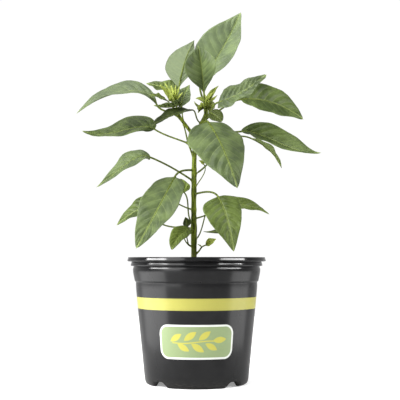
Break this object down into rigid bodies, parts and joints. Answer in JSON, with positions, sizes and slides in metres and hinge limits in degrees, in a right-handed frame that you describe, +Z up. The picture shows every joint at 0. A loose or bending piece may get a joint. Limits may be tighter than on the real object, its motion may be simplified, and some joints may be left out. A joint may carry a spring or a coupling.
{
  "type": "potted chilli pepper plant",
  "caption": "Young chilli pepper plant with long-stalked pointed leaves and two budding shoots, rooted in soil in a round tapered nursery pot.",
  "frame": {"origin": "on the pot's axis, at the level of the surface that the pot's foot stands on", "axes": "+Z up along the pot's axis and the stem, -Y towards the side of the pot that carries the print, +X to the right as seen from there"},
  "size_m": [0.2045, 0.1154, 0.3146],
  "materials": {
    "pot": "glossy black moulded plastic, with a yellow printed stripe",
    "potting_soil": "rough dark potting mix with pale grains",
    "stem": "satin green, smooth",
    "leaf": "satin green with paler veins and underside",
    "young_leaf": "satin yellow-green"
  },
  "bodies": {
    "root": {"leaf_axil": "young_leaf", "leaf_cluster_back": "leaf", "leaf_cluster_front": "leaf", "leaf_cluster_left": "leaf", "leaf_cluster_right": "leaf", "leaf_front_broad": "leaf", "leaf_left_arched": "leaf", "leaf_left_back": "leaf", "leaf_left_broad": "leaf", "leaf_left_drooping": "leaf", "leaf_left_long": "leaf", "leaf_left_low": "leaf", "leaf_left_pale": "leaf", "leaf_right_broad": "leaf", "leaf_right_crinkled": "leaf", "leaf_right_curled": "leaf", "leaf_right_dark": "leaf", "leaf_right_hanging": "leaf", "leaf_right_long": "leaf", "leaf_right_low": "leaf", "leaf_right_round": "leaf", "leaf_small_front": "leaf", "leaf_small_upright": "leaf", "leaf_top_back": "leaf", "leaf_top_front": "leaf", "leaf_top_left": "leaf", "leaf_under_cluster": "leaf", "pot": "pot", "shoot_low_left": "young_leaf", "shoot_low_right": "young_leaf", "shoot_tip_left": "young_leaf", "shoot_tip_right": "young_leaf", "soil": "potting_soil", "stem": "stem"}
  },
  "joints": []
}
